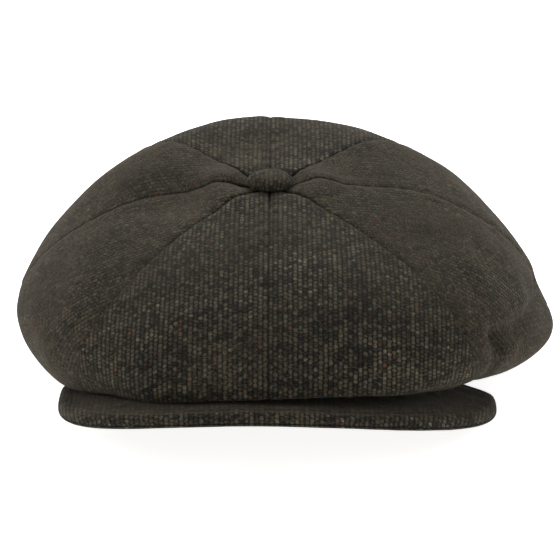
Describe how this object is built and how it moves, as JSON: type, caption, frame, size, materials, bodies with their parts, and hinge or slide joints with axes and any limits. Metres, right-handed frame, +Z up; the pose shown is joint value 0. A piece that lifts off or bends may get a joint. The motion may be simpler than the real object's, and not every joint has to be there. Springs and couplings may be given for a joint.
{
  "type": "newsboy cap",
  "caption": "Soft newsboy cap: full panelled tweed crown with a covered button, overhanging an oval band and a short arched visor stitched to its front.",
  "frame": {"origin": "centre of the oval head opening, on the plane that the rim of the band stands on", "axes": "+Z up towards the button, -Y towards the visor at the front, +X to the side on the right when the cap is seen from the front (the wearer's left)"},
  "size_m": [0.2597, 0.2785, 0.1024],
  "materials": {
    "wool_tweed": "napped hopsack wool, brown over charcoal with mixed flecks",
    "lining_satin": "smooth satin lining",
    "sweatband_twill": "fine cotton twill",
    "canvas": "stiffened cotton canvas",
    "board": "flexible moulded visor board",
    "steel": "pressed and plated steel",
    "label_cloth": "blank woven label"
  },
  "bodies": {
    "root": {"panel_front_right": "wool_tweed", "panel_side_front_right": "wool_tweed", "panel_side_rear_right": "wool_tweed", "panel_rear_right": "wool_tweed", "panel_rear_left": "wool_tweed", "panel_side_rear_left": "wool_tweed", "panel_side_front_left": "wool_tweed", "panel_front_left": "wool_tweed", "outer_band": "wool_tweed", "band_stiffener": "canvas", "sweatband": "sweatband_twill", "lining_front_right": "lining_satin", "lining_rear_right": "lining_satin", "lining_rear_left": "lining_satin", "lining_front_left": "lining_satin", "button_washer": "steel", "size_tab": "label_cloth", "lining_label": "label_cloth"},
    "visor": {"visor_board": "board", "visor_top_cover": "wool_tweed", "visor_under_cover": "wool_tweed"},
    "button": {"button_cover": "wool_tweed", "button_shell": "steel", "button_back_plate": "steel", "button_shank": "steel"}
  },
  "joints": [
    {"name": "visor_flex", "type": "hinge", "parent": "root", "child": "visor", "pos_m": [0, -0.046, 0.006], "axis": [1, 0, 0], "range_deg": [0, 9], "stiffness_Nm_per_rad": 0.6},
    {"name": "button_turn", "type": "hinge", "parent": "root", "child": "button", "pos_m": [-0.003, 0, 0.0902], "axis": [0, 0, 1], "range_deg": [-30, 30]}
  ]
}
